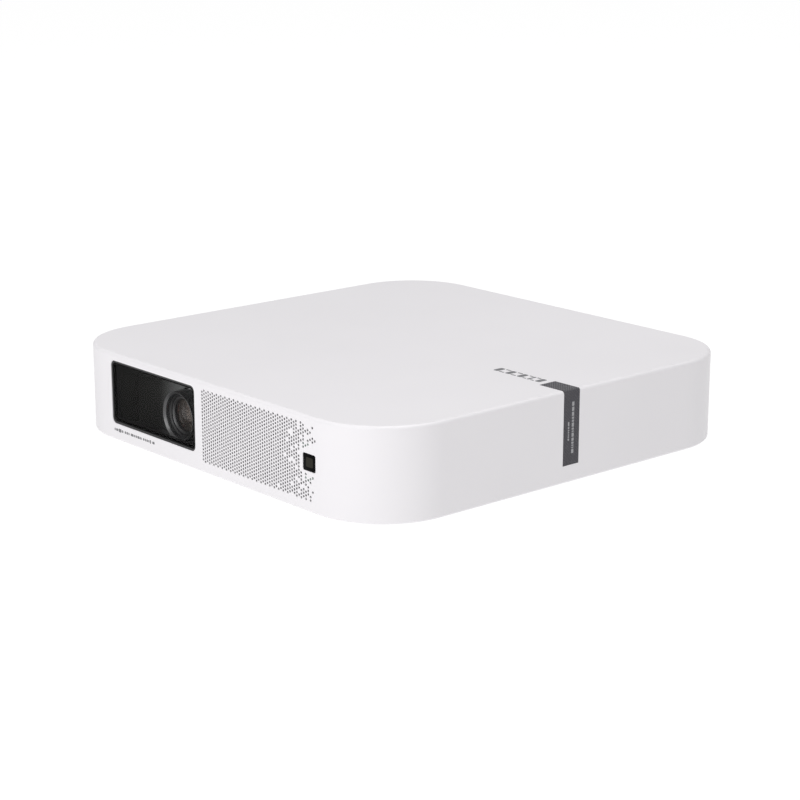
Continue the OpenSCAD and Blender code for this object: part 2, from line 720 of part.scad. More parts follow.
module collimator_lenses() color(clear) {
  h = 2.5;
  bar_y(lens_x - led_off, engine_y1 - engine_t - 5, lens_z, led_r + 1, h);
  translate([engine_x0 + engine_t + 1, y_engine + engine_l/2, lens_z]) rotate([0, 90, 0])
    cylinder(h = h, r = led_r - 1, $fn = mid);
  for (p = [[lens_x - led_off, engine_y1 - engine_t - 5 + h/2, led_r + 1],
            [engine_x0 + engine_t + 1 + h/2, y_engine + engine_l/2, led_r - 1]])
    span([p[0] - 1, p[1] - 1, z_floor + engine_t], [p[0] + 1, p[1] + 1, lens_z - p[2] + 0.5]);
}

module dmd_board() {
  x0 = engine_x1;
  color(green_board)
    span([x0, y_engine + 2, lens_z - 9.5], [x0 + 1.6, y_engine + 29, lens_z + 9.5]);
  color(dark)
    span([x0 - engine_t, y_engine + 9, lens_z - 4], [x0, y_engine + 21, lens_z + 4]);
}

module dmd_heatsink() color(silver) {
  x0 = engine_x1 + 1.6;
  span([x0, y_engine + 5, lens_z - 8], [x0 + 2, y_engine + 26, lens_z + 8]);
  for (i = [0:4], j = [0:3])
    span([x0 + 2, y_engine + 5.5 + i*4.6, lens_z - 7.4 + j*4.2],
         [x0 + 11, y_engine + 7.1 + i*4.6, lens_z - 5.2 + j*4.2]);
}

module green_led() {
  x = lens_x - led_off;
  color(copper) {
    span([x - 10, engine_y1, z_floor + 3], [x + 10, engine_y1 + plate_l, pipe_under]);
    span([x - 8, engine_y1 + plate_l, z_floor + 6], [x + 8, engine_y1 + plate_l + block_l, pipe_under]);
  }
  color(green_board) bar_y(x, engine_y1 - 1.5, lens_z, led_r - 0.5, 1.5);
}

module red_blue_led() {
  y = y_engine + engine_l/2;
  color(copper) {
    span([engine_x0 - plate_l, y - 10, z_floor + 3], [engine_x0, y + 10, pipe_under]);
    span([engine_x0 - plate_l - 7, y - 8, z_floor + 6], [engine_x0 - plate_l, y + 8, pipe_under]);
  }
  color(green_board) translate([engine_x0, y, lens_z]) rotate([0, 90, 0])
    cylinder(h = 1, r = led_r - 0.5, $fn = mid);
}

// ---- Cooling ----

module fin_stack() color(silver) {
  top = pipe_under - fin_plate;
  span([fin_x0, fin_y0, top], [fin_x1, fin_y0 + fin_l, pipe_under]);
  for (i = [0:fin_count - 1])
    span([fin_x0 + i*fin_pitch, fin_y0, z_floor], [fin_x0 + i*fin_pitch + fin_t, fin_y0 + fin_l, top]);
}

// A quarter bend of a pipe about the upright axis, from the angle a on
module bend(r, a) rotate([0, 0, a]) rotate_extrude(angle = 90, $fn = fine)
  translate([r, 0]) circle(pipe_r, $fn = small);

// Straight pipe between two points on one level
module pipe_x(x0, x1, y) translate([x0, y, pipe_z]) rotate([0, 90, 0]) cylinder(h = x1 - x0, r = pipe_r, $fn = small);
module pipe_y(x, y0, y1) bar_y(x, y0, pipe_z, pipe_r, y1 - y0, small);

module heat_pipe_inner() color(copper) {
  pipe_x(lens_x - led_off - 9, pipe_x - bend_r, y_pipe);
  translate([pipe_x - bend_r, y_pipe - bend_r, pipe_z]) bend(bend_r, 0);
  pipe_y(pipe_x, fin_y0 + 1, y_pipe - bend_r);
}

module heat_pipe_outer() color(copper) {
  y = y_pipe + pipe_step;
  x0 = engine_x0 - plate_l - 3.5;
  r = bend_r + pipe_step;
  pipe_y(x0, y_engine + engine_l/2 - 8, y - bend_r);
  translate([x0 + bend_r, y - bend_r, pipe_z]) bend(bend_r, 90);
  pipe_x(x0 + bend_r, pipe_x + pipe_step - r, y);
  translate([pipe_x + pipe_step - r, y - r, pipe_z]) bend(r, 0);
  pipe_y(pipe_x + pipe_step, fin_y0 + 1, y - r);
}

// Square housing with a round chamber, open on top and towards the outlet, and a bearing in its floor
module fan_case(w, h, out) {
  c = w/2;
  difference() {
    cube([w, w, h - 1]);
    translate([c, c, 1.4]) difference() {
      cylinder(h = h, r = c - 1.6, $fn = fine);
      translate([0, 0, -eps]) cylinder(h = 3.6 + eps, r = 2.8, $fn = small);
    }
    translate([c, c, 0.6]) cylinder(h = 6, r = shaft_r + slide_fit, $fn = small);
    translate([0, 0, 1.4]) {
      if (out < 0) span([6, -eps, 0], [w - 1.6, c - 4, h]);
      else span([1.6, c + 4, 0], [w - 6, w + eps, h]);
    }
    translate([c, c, -eps]) for (a = [0:90:270]) rotate([0, 0, a + 45])
      span([5, -2, 0], [c - 5, 2, 1.4 + 2*eps]);
    at_case_screws(w, out) translate([0, 0, h - 1 - small_l])
      cylinder(h = small_l + 1, r = small_r + screw_fit, $fn = small);
  }
}

module fan_lid(w, h, out) translate([0, 0, h - 1]) difference() {
  cube([w, w, 1]);
  translate([w/2, w/2, -eps]) cylinder(h = 1 + 2*eps, r = w*0.32, $fn = fine);
  at_case_screws(w, out) translate([0, 0, -eps]) cylinder(h = 2, r = small_r + 0.15, $fn = small);
}

// Length of a blade that starts s from the centre, turned by a, and ends t from the centre
function blade_l(s, t, a) = sqrt(t*t - pow(s*sin(a), 2)) - s*cos(a);

// Wheel with upright blades on a thin disc, and a cup-shaped hub over the bearing
module fan_wheel(w, h, blades) {
  r = w/2 - 3;
  hub_r = w*0.19;
  turn = 35;                          // how far the blades lean back
  z0 = 2;
  translate([w/2, w/2, 0]) difference() {
    union() {
      translate([0, 0, z0]) cylinder(h = h - z0 - 2.2, r = hub_r, $fn = mid);
      translate([0, 0, z0]) cylinder(h = 0.8, r = r, $fn = fine);
      translate([0, 0, z0 + 0.4]) linear_extrude(h - z0 - 3)
        for (i = [0:blades - 1]) rotate(i*360/blades) translate([hub_r - 1, 0]) rotate(turn)
          translate([0, -0.35]) square([blade_l(hub_r - 1, r - 0.3, turn), 0.7]);
    }
    translate([0, 0, z0 - eps]) cylinder(h = h - z0 - 4, r = 4, $fn = mid);
    translate([0, 0, z0]) cylinder(h = h, r = shaft_r, $fn = small);
  }
}

module fan_pin(w, h) translate([w/2, w/2, 0.8]) cylinder(h = h - 3.4, r = shaft_r, $fn = small);

module at_blower() translate([blower_x, blower_y, z_floor + 1]) children();
module at_fan() translate([fan_x, fan_y, z_floor + 1]) children();

module blower_housing() color(dark) at_blower() fan_case(blower_w, blower_h, -1);
module blower_cover() color(dark) at_blower() fan_lid(blower_w, blower_h, -1);
module blower_impeller() color(rubber) at_blower() fan_wheel(blower_w, blower_h, 21);
module blower_shaft() color(steel) at_blower() fan_pin(blower_w, blower_h);
module fan_housing() color(dark) at_fan() fan_case(fan_w, fan_h, 1);
module fan_cover() color(dark) at_fan() fan_lid(fan_w, fan_h, 1);
module fan_impeller() color(rubber) at_fan() fan_wheel(fan_w, fan_h, 17);
module fan_shaft() color(steel) at_fan() fan_pin(fan_w, fan_h);

// ---- Sound ----

// Origin at the driver's centre, on the floor; s is -1 on the left and 1 on the right
module at_driver(s)
  translate([s*(x_in - speaker_gap - speaker_w/2), speaker_y + driver_off, z_floor]) children();

module speaker_box(s) color(dark) at_driver(s) difference() {
  span([-speaker_w/2, -driver_off, 0], [speaker_w/2, speaker_l - driver_off, box_h]);
  span([box_t - speaker_w/2, box_t - driver_off, box_t],
       [speaker_w/2 - box_t, speaker_l - driver_off - box_t, box_h - box_t]);
  translate([0, 0, -eps]) cylinder(h = box_t + 2*eps, r = mouth_r, $fn = mid);
}

module speaker_driver(s) color(steel) at_driver(s) {
  translate([0, 0, box_t]) difference() {
    cylinder(h = 1.5, r = driver_r, $fn = mid);
    translate([0, 0, -eps]) cylinder(h = 1.5 + 2*eps, r = mouth_r, $fn = mid);
  }
  for (a = [0:90:270]) rotate([0, 0, a]) span([6.4, -1.5, 8.4], [driver_r - 0.4, 1.5, 9.6]);
  for (a = [0:90:270]) rotate([0, 0, a]) span([mouth_r + 0.3, -1.5, box_t + 1], [driver_r - 0.4, 1.5, 9.6]);
  translate([0, 0, 8.4]) difference() {
    cylinder(h = 6, r = 7, $fn = mid);
    difference() {
      translate([0, 0, -eps]) cylinder(h = 5, r = coil_r + 0.4, $fn = small);
      cylinder(h = 6, r = coil_r - 0.8, $fn = small);
    }
  }
}

// Cone with a dust cap and a coil tube, moving up and down
module speaker_cone(s) color(black) at_driver(s)
  rotate_extrude($fn = mid) polygon([
    [0, 4.1], [2.2, 4.5], [3, 5.2], [cone_r, 2.6], [cone_r, 3.1], [coil_r, 5.7], [coil_r, 10.4],
    [coil_r - 0.4, 10.4], [coil_r - 0.4, 5.6], [2.1, 4.9], [0, 4.5]
  ]);

// The surrounds stay with the boxes, a hair away from the cones that move inside them
module speaker_surrounds() color(rubber) for (s = [-1, 1]) at_driver(s)
  rotate_extrude($fn = mid) polygon([
    [cone_r + 0.1, 2.6], [mouth_r - 0.3, 1.8], [mouth_r, 1.7], [mouth_r, 2.3], [mouth_r - 0.3, 2.4],
    [cone_r + 0.1, 3.1]
  ]);

// ---- Electronics ----

module main_board() color(green_board) {
  difference() {
    span([board_x0, board_y1 - board_l, board_z], [board_x1, board_y1, board_top]);
    at_board_screws() translate([0, 0, board_z - eps])
      cylinder(h = board_t + 2*eps, r = small_r + 0.15, $fn = small);
  }
  for (p = [[8, 30, 12, 8], [44, 30, 9, 9], [46, 12, 12, 5], [8, 8, 10, 14]])
    span([board_x0 + p[0], board_y1 - board_l + p[1], board_top],
         [board_x0 + p[0] + p[2], board_y1 - board_l + p[1] + p[3], board_top + 1.4]);
  span([board_x0 + 2, cable_y - 2, board_top], [board_x0 + 4, cable_y + 2, cable_z + cable_w + 1]);
}

// Flat cable on edge, from the micromirror board to the main board's connector
module flat_cable() color(black) {
  x = engine_x1 + 1.6;
  c = [x + cable_bend, cable_y - cable_bend];
  translate([0, 0, cable_z]) linear_extrude(cable_w) {
    translate([x, y_engine + 26.5]) square([cable_t, c[1] - y_engine - 26.5]);
    translate([c[0], cable_y - cable_t]) square([board_x0 + 2 - c[0], cable_t]);
    intersection() {
      difference() {
        translate(c) circle(cable_bend, $fn = mid);
        translate(c) circle(cable_bend - cable_t, $fn = mid);
      }
      translate([x, c[1]]) square(cable_bend);
    }
  }
}

module chip_heatsink() color(silver) {
  x0 = board_x0 + 23;
  y0 = board_y1 - board_l + 8;
  span([x0, y0, board_top], [x0 + 18, y0 + 28, board_top + 2]);
  for (i = [0:5]) span([x0 + i*3.4, y0, board_top + 2], [x0 + i*3.4 + 1, y0 + 28, board_top + 8]);
}

// Open metal can with a tongue inside, mouth towards the rear
module can_socket(x, w, h, l, tongue_t, tongue_w, tongue_back) {
  t = 0.5;
  color(steel) difference() {
    span([x - w/2, socket_y1 - l, board_top], [x + w/2, socket_y1, board_top + h]);
    span([x - w/2 + t, socket_y1 - l + t, board_top + t], [x + w/2 - t, socket_y1 + eps, board_top + h - t]);
  }
  color(black) span([x - tongue_w/2, socket_y1 - l + t, board_top + h/2 - tongue_t/2],
                    [x + tongue_w/2, socket_y1 - tongue_back, board_top + h/2 + tongue_t/2]);
}

module hdmi_socket() can_socket(hdmi_x, 15, 6, 14, 1, 11, 5.5);
module usb_socket() can_socket(usb_x, 13.2, 7.2, 16, 1.8, 11, 5.5);

module audio_socket() {
  z = board_top + 3.1;
  color(black) difference() {
    union() {
      span([audio_x - 3.1, socket_y1 - jack_l - 1.8, board_top], [audio_x + 3.1, y_back, board_top + 6.2]);
      bar_y(audio_x, y_back - 0.3, z, 3, socket_y1 - y_back + 0.3);
    }
    bar_y(audio_x, socket_y1 - jack_l, z, jack_r, jack_l + eps);
  }
}

module power_socket() {
  z = board_top + 5.5;
  color(black) difference() {
    union() {
      span([power_x - 4.5, socket_y1 - 13.5, board_top], [power_x + 4.5, y_back, board_top + 10.5]);
      bar_y(power_x, y_back - 0.3, z, 4, socket_y1 - y_back + 0.3);
    }
    bar_y(power_x, socket_y1 - 10, z, barrel_r, 10 + eps);
  }
  color(steel) bar_y(power_x, socket_y1 - 10.4, z, 1, 9.4, small);
}

module power_button() color(white) {
  bar_y(button_x, y_back - 0.4, button_z, button_r, wall + 0.2);
  bar_y(button_x, y_back - 1.4, button_z, button_r + 0.9, 1);
  bar_y(button_x, y_back - 4, button_z, 1.5, 2.7, small);
}

module button_switch() {
  y = y_back - 4 - button_travel - 0.1;
  color(dark) span([button_x - 3, y - 3.5, button_z - 3], [button_x + 3, y, button_z + 3]);
  color(green_board) span([button_x - 5, y - 5, z_floor], [button_x + 5, y - 3.5, button_z + 5]);
}

module wifi_antennas() color(black) {
  for (s = [-1, 1])
    span([s > 0 ? x_in - 0.3 : -x_in, -flat_y + 6, z_floor + 8],
         [s > 0 ? x_in : 0.3 - x_in, -flat_y + 38, z_floor + 16]);
}

// Small screw with its head's underside at z = 0
module small_screw() difference() {
  union() {
    cylinder(h = small_head_l, r = small_head_r, $fn = small);
    translate([0, 0, -small_l]) cylinder(h = small_l + 0.1, r = small_r, $fn = small);
  }
  for (a = [0, 90]) rotate([0, 0, a]) span([-1.1, -0.25, small_head_l - 0.6], [1.1, 0.25, small_head_l + eps]);
}

module inner_screws() color(steel) {
  at_board_screws() translate([0, 0, board_top]) small_screw();
  at_engine_screws() translate([0, 0, z_lid + engine_lid_t]) small_screw();
  at_blower() at_case_screws(blower_w, -1) translate([0, 0, blower_h]) small_screw();
  at_fan() at_case_screws(fan_w, 1) translate([0, 0, fan_h]) small_screw();
}

top_shell();
front_grille();
rear_grille();
socket_panel();
bottom_cover();
rubber_feet();
case_screws();
tripod_insert();
window_glass();
window_frame();
lens_shroud();
sensor_window();
side_tag();
engine_housing();
engine_cover();
focus_ring();
ring_clip();
lens_barrel();
front_lens();
lens_retainer();
cam_pins();
focus_motor();
focus_pinion();
prism_block();
fold_mirror();
collimator_lenses();
dmd_board();
dmd_heatsink();
green_led();
red_blue_led();
fin_stack();
heat_pipe_inner();
heat_pipe_outer();
blower_housing();
blower_cover();
blower_impeller();
blower_shaft();
fan_housing();
fan_cover();
fan_impeller();
fan_shaft();
speaker_box(-1);  // speaker_box_left
speaker_box(1);  // speaker_box_right
speaker_driver(-1);  // speaker_driver_left
speaker_driver(1);  // speaker_driver_right
speaker_cone(-1);  // speaker_cone_left
speaker_cone(1);  // speaker_cone_right
speaker_surrounds();
flat_cable();
main_board();
chip_heatsink();
hdmi_socket();
usb_socket();
audio_socket();
power_socket();
sensor_board();
power_button();
button_switch();
wifi_antennas();
inner_screws();
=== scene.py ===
import json
import math
import random
import bmesh
import bpy
from mathutils import Matrix, Vector


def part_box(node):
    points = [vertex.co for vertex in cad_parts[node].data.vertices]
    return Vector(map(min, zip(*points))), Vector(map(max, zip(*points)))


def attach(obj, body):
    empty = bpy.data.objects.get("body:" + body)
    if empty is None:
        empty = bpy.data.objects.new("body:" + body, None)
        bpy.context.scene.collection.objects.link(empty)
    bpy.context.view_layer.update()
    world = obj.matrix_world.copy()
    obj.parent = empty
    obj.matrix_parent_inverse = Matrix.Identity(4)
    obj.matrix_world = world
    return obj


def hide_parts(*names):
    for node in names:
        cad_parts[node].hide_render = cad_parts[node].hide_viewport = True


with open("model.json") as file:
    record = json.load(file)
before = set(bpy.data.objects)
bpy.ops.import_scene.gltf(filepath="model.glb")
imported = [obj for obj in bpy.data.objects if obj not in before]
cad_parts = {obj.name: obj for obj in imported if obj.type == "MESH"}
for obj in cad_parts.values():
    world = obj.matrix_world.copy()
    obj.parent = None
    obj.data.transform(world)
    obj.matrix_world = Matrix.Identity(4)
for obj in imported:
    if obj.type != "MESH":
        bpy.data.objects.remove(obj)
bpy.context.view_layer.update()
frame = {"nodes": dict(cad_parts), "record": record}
nodes = frame["nodes"]
mm = 0.001
full = 2*math.pi


def middle(box):
    return (box[0] + box[1])/2


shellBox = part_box("top_shell")
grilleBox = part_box("front_grille")
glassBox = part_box("window_glass")
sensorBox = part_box("sensor_window")
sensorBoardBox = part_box("sensor_board")
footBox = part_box("rubber_feet")
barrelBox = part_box("lens_barrel")
lensX = middle(barrelBox).x
lensZ = middle(barrelBox).z
rimY = barrelBox[0].y            # front of the lens barrel
frontY = shellBox[0].y
topZ = shellBox[1].z
print("frame loaded:", len(nodes), "CAD nodes")


def newGroup(name, inputs, outputs):
    group = bpy.data.node_groups.new(name, "ShaderNodeTree")
    for label, kind, value in inputs:
        socket = group.interface.new_socket(name=label, in_out="INPUT", socket_type=kind)
        if value is not None:
            socket.default_value = value
    for label, kind in outputs:
        group.interface.new_socket(name=label, in_out="OUTPUT", socket_type=kind)
    start = group.nodes.new("NodeGroupInput")
    end = group.nodes.new("NodeGroupOutput")
    return group, start, end


def addNode(tree, kind, **values):
    node = tree.nodes.new(kind)
    for key, value in values.items():
        setattr(node, key, value)
    return node


def mathNode(tree, operation, a, b=None, clamp=False):
    node = addNode(tree, "ShaderNodeMath", operation=operation, use_clamp=clamp)
    for index, value in enumerate((a, b)):
        if value is None:
            continue
        if isinstance(value, (int, float)):
            node.inputs[index].default_value = value
        else:
            tree.links.new(value, node.inputs[index])
    return node.outputs[0]


def mixColour(tree, factor, a, b):
    node = addNode(tree, "ShaderNodeMix", data_type="RGBA")
    for socket, value in ((node.inputs[0], factor), (node.inputs[6], a), (node.inputs[7], b)):
        if isinstance(value, (int, float)):
            socket.default_value = value
        elif isinstance(value, tuple):
            socket.default_value = value if len(value) == 4 else (*value, 1)
        else:
            tree.links.new(value, socket)
    return node.outputs[2]


def makeGrainGroup():
    # fine moulded grain: a tone that drifts over the surface, a fine height and a rub mask
    group, start, end = newGroup(
        "mouldGrain",
        [("Coordinates", "NodeSocketVector", None), ("Grain Scale", "NodeSocketFloat", 3000.0),
         ("Cloud Scale", "NodeSocketFloat", 18.0)],
        [("Tone", "NodeSocketFloat"), ("Height", "NodeSocketFloat"), ("Rub", "NodeSocketFloat")])
    grain = addNode(group, "ShaderNodeTexNoise", noise_dimensions="3D")
    grain.inputs["Detail"].default_value = 2.0
    cloud = addNode(group, "ShaderNodeTexNoise", noise_dimensions="3D")
    cloud.inputs["Detail"].default_value = 3.0
    pits = addNode(group, "ShaderNodeTexVoronoi", feature="F1")
    rub = addNode(group, "ShaderNodeTexNoise", noise_dimensions="3D")
    rub.inputs["Detail"].default_value = 4.0
    rub.inputs["Roughness"].default_value = 0.7
    for node in (grain, cloud, pits, rub):
        group.links.new(start.outputs["Coordinates"], node.inputs["Vector"])
    group.links.new(start.outputs["Grain Scale"], grain.inputs["Scale"])
    group.links.new(start.outputs["Cloud Scale"], cloud.inputs["Scale"])
    half = mathNode(group, "MULTIPLY", start.outputs["Grain Scale"], 0.6)
    group.links.new(half, pits.inputs["Scale"])
    wide = mathNode(group, "MULTIPLY", start.outputs["Cloud Scale"], 2.7)
    group.links.new(wide, rub.inputs["Scale"])
    group.links.new(cloud.outputs["Fac"], end.inputs["Tone"])
    height = mathNode(group, "ADD", mathNode(group, "MULTIPLY", grain.outputs["Fac"], 0.6),
                      mathNode(group, "MULTIPLY", pits.outputs["Distance"], 0.4))
    group.links.new(height, end.inputs["Height"])
    worn = mathNode(group, "MULTIPLY", mathNode(group, "SUBTRACT", rub.outputs["Fac"], 0.55), 4.0, True)
    group.links.new(worn, end.inputs["Rub"])
    return group


def makeBrushGroup():
    # streaks along one axis, for turned and rolled metal
    group, start, end = newGroup(
        "brushStreaks",
        [("Coordinates", "NodeSocketVector", None), ("Stretch", "NodeSocketVector", (4000.0, 60.0, 4000.0))],
        [("Streak", "NodeSocketFloat"), ("Smudge", "NodeSocketFloat")])
    scaled = addNode(group, "ShaderNodeVectorMath", operation="MULTIPLY")
    group.links.new(start.outputs["Coordinates"], scaled.inputs[0])
    group.links.new(start.outputs["Stretch"], scaled.inputs[1])
    streak = addNode(group, "ShaderNodeTexNoise", noise_dimensions="3D")
    streak.inputs["Scale"].default_value = 1.0
    streak.inputs["Detail"].default_value = 3.0
    group.links.new(scaled.outputs[0], streak.inputs["Vector"])
    smudge = addNode(group, "ShaderNodeTexNoise", noise_dimensions="3D")
    smudge.inputs["Scale"].default_value = 70.0
    group.links.new(start.outputs["Coordinates"], smudge.inputs["Vector"])
    group.links.new(streak.outputs["Fac"], end.inputs["Streak"])
    group.links.new(smudge.outputs["Fac"], end.inputs["Smudge"])
    return group


def makeWeaveGroup():
    # plain weave: warp and weft threads that pass over each other in turn, from two flat coordinates
    group, start, end = newGroup(
        "ribbonWeave",
        [("Across", "NodeSocketFloat", 0.0), ("Along", "NodeSocketFloat", 0.0),
         ("Threads", "NodeSocketFloat", 2500.0)],
        [("Height", "NodeSocketFloat"), ("Warp", "NodeSocketFloat")])
    u = mathNode(group, "MULTIPLY", start.outputs["Across"], start.outputs["Threads"])
    v = mathNode(group, "MULTIPLY", start.outputs["Along"], start.outputs["Threads"])

    def thread(x):
        return mathNode(group, "ABSOLUTE", mathNode(group, "SINE", mathNode(group, "MULTIPLY", x, math.pi)))

    parity = mathNode(group, "MODULO", mathNode(group, "ABSOLUTE", mathNode(
        group, "ADD", mathNode(group, "FLOOR", u), mathNode(group, "FLOOR", v))), 2.0)
    flip = mathNode(group, "SUBTRACT", 1.0, parity)
    over = mathNode(group, "MULTIPLY", parity, thread(u))
    under = mathNode(group, "MULTIPLY", flip, thread(v))
    group.links.new(mathNode(group, "ADD", over, under), end.inputs["Height"])
    group.links.new(parity, end.inputs["Warp"])
    return group


groups = {"grain": makeGrainGroup(), "brush": makeBrushGroup(), "weave": makeWeaveGroup()}


def startMaterial(name):
    material = bpy.data.materials.new(name)
    material.use_nodes = True
    tree = material.node_tree
    shader = tree.nodes["Principled BSDF"]
    place = addNode(tree, "ShaderNodeTexCoord").outputs["Object"]
    return material, tree, shader, place


def placeGroup(tree, name, place=None, **values):
    node = addNode(tree, "ShaderNodeGroup", node_tree=groups[name])
    if place is not None:
        tree.links.new(place, node.inputs["Coordinates"])
    for key, value in values.items():
        node.inputs[key.replace("_", " ")].default_value = value
    return node


def rangeNode(tree, value, low, high):
    node = addNode(tree, "ShaderNodeMapRange")
    tree.links.new(value, node.inputs["Value"])
    node.inputs["To Min"].default_value = low
    node.inputs["To Max"].default_value = high
    return node.outputs["Result"]


def addBump(tree, shader, height, distance, strength=1.0):
    bump = addNode(tree, "ShaderNodeBump")
    bump.inputs["Distance"].default_value = distance
    bump.inputs["Strength"].default_value = strength
    tree.links.new(height, bump.inputs["Height"])
    tree.links.new(bump.outputs["Normal"], shader.inputs["Normal"])


def plastic(name, dark, light, rough, grainScale, depth, specular=0.5, cloudScale=18.0):
    # moulded plastic: drifting tone, fine spark grain, and rubbed places that are a little smoother
    material, tree, shader, place = startMaterial(name)
    grain = placeGroup(tree, "grain", place, Grain_Scale=grainScale, Cloud_Scale=cloudScale)
    tree.links.new(mixColour(tree, grain.outputs["Tone"], dark, light), shader.inputs["Base Color"])
    rub = rangeNode(tree, grain.outputs["Rub"], rough, rough*0.86)
    tree.links.new(rub, shader.inputs["Roughness"])
    shader.inputs["Specular IOR Level"].default_value = specular
    addBump(tree, shader, grain.outputs["Height"], depth)
    return material


def metal(name, dark, light, rough, stretch, depth=0.00002):
    material, tree, shader, place = startMaterial(name)
    brush = placeGroup(tree, "brush", place, Stretch=stretch)
    tree.links.new(mixColour(tree, brush.outputs["Streak"], dark, light), shader.inputs["Base Color"])
    smudge = rangeNode(tree, brush.outputs["Smudge"], rough*0.75, rough*1.3)
    tree.links.new(smudge, shader.inputs["Roughness"])
    shader.inputs["Metallic"].default_value = 1.0
    addBump(tree, shader, brush.outputs["Streak"], depth)
    return material


def glass(name, dark, light, rough, transmission, alpha, coat=0.0, coatTint=(1, 1, 1), specular=0.5):
    material, tree, shader, place = startMaterial(name)
    brush = placeGroup(tree, "brush", place, Stretch=(30.0, 30.0, 30.0))
    tree.links.new(mixColour(tree, brush.outputs["Smudge"], dark, light), shader.inputs["Base Color"])
    tree.links.new(rangeNode(tree, brush.outputs["Smudge"], rough, rough*2.5), shader.inputs["Roughness"])
    shader.inputs["Transmission Weight"].default_value = transmission
    shader.inputs["Alpha"].default_value = alpha
    shader.inputs["Specular IOR Level"].default_value = specular
    shader.inputs["Coat Weight"].default_value = coat
    shader.inputs["Coat Tint"].default_value = (*coatTint, 1)
    shader.inputs["Coat Roughness"].default_value = 0.02
    return material


def boardMaterial():
    # solder mask over copper tracks, which show as a slightly lighter grid of lines
    material, tree, shader, place = startMaterial("circuitBoard")
    brick = addNode(tree, "ShaderNodeTexBrick")
    brick.inputs["Scale"].default_value = 260.0
    brick.inputs["Mortar Size"].default_value = 0.03
    brick.inputs["Color1"].default_value = (0.012, 0.105, 0.05, 1)
    brick.inputs["Color2"].default_value = (0.015, 0.13, 0.062, 1)
    brick.inputs["Mortar"].default_value = (0.04, 0.24, 0.12, 1)
    tree.links.new(place, brick.inputs["Vector"])
    grain = placeGroup(tree, "grain", place, Grain_Scale=1500.0)
    dull = mathNode(tree, "MULTIPLY", grain.outputs["Tone"], 0.35)
    base = mixColour(tree, dull, brick.outputs["Color"], (0.01, 0.07, 0.035))
    tree.links.new(base, shader.inputs["Base Color"])
    tree.links.new(rangeNode(tree, grain.outputs["Rub"], 0.38, 0.28), shader.inputs["Roughness"])
    addBump(tree, shader, brick.outputs["Fac"], 0.00004)
    return material


def shroudPaintedLightMaterial():
    # matt moulding whose colour is painted shade at the window's far end and grows paler, as painted light,
    # towards the lens: the ramp stands in for how light falls into the recess
    material, tree, shader, place = startMaterial("shroudPaintedShadeAndLight")
    split = addNode(tree, "ShaderNodeSeparateXYZ")
    tree.links.new(place, split.inputs[0])
    # painted shade and light: a smooth ramp along X from the window's far end to the lens
    painted_light_fade = addNode(tree, "ShaderNodeMapRange", interpolation_type="SMOOTHSTEP")
    tree.links.new(split.outputs["X"], painted_light_fade.inputs["Value"])
    painted_light_fade.inputs["From Min"].default_value = glassBox[0].x + 0.012
    painted_light_fade.inputs["From Max"].default_value = lensX
    grain = placeGroup(tree, "grain", place, Grain_Scale=1200.0)
    # near-black painted shade tone at the far end, pale painted light tone at the lens
    painted_shade_tone = mixColour(tree, grain.outputs["Tone"], (0.012, 0.012, 0.011), (0.02, 0.02, 0.018))
    painted_light_tone = mixColour(tree, grain.outputs["Tone"], (0.42, 0.428, 0.43), (0.52, 0.53, 0.535))
    tree.links.new(mixColour(tree, painted_light_fade.outputs["Result"], painted_shade_tone, painted_light_tone), shader.inputs["Base Color"])
    tree.links.new(rangeNode(tree, grain.outputs["Rub"], 0.6, 0.5), shader.inputs["Roughness"])
    addBump(tree, shader, grain.outputs["Height"], 0.00003)
    return material


def tagMaterial(name, dark, light, threads):
    # ribbon threads follow the piece's own UV map: across and along the ribbon, in metres
    material, tree, shader, place = startMaterial(name)
    flat = addNode(tree, "ShaderNodeUVMap", uv_map="ribbon")
    split = addNode(tree, "ShaderNodeSeparateXYZ")
    tree.links.new(flat.outputs["UV"], split.inputs[0])
    weave = addNode(tree, "ShaderNodeGroup", node_tree=groups["weave"])
    tree.links.new(split.outputs["X"], weave.inputs["Across"])
    tree.links.new(split.outputs["Y"], weave.inputs["Along"])
    weave.inputs["Threads"].default_value = threads
    grain = placeGroup(tree, "grain", place, Grain_Scale=2500.0, Cloud_Scale=300.0)
    thread = mixColour(tree, weave.outputs["Height"], dark, light)
    worn = mathNode(tree, "MULTIPLY", grain.outputs["Tone"], 0.4)
    tree.links.new(mixColour(tree, worn, thread, light), shader.inputs["Base Color"])
    tree.links.new(rangeNode(tree, weave.outputs["Warp"], 0.7, 0.85), shader.inputs["Roughness"])
    shader.inputs["Sheen Weight"].default_value = 0.25
    shader.inputs["Sheen Roughness"].default_value = 0.4
    shader.inputs["Specular IOR Level"].default_value = 0.3
    addBump(tree, shader, weave.outputs["Height"], 0.00012)
    return material


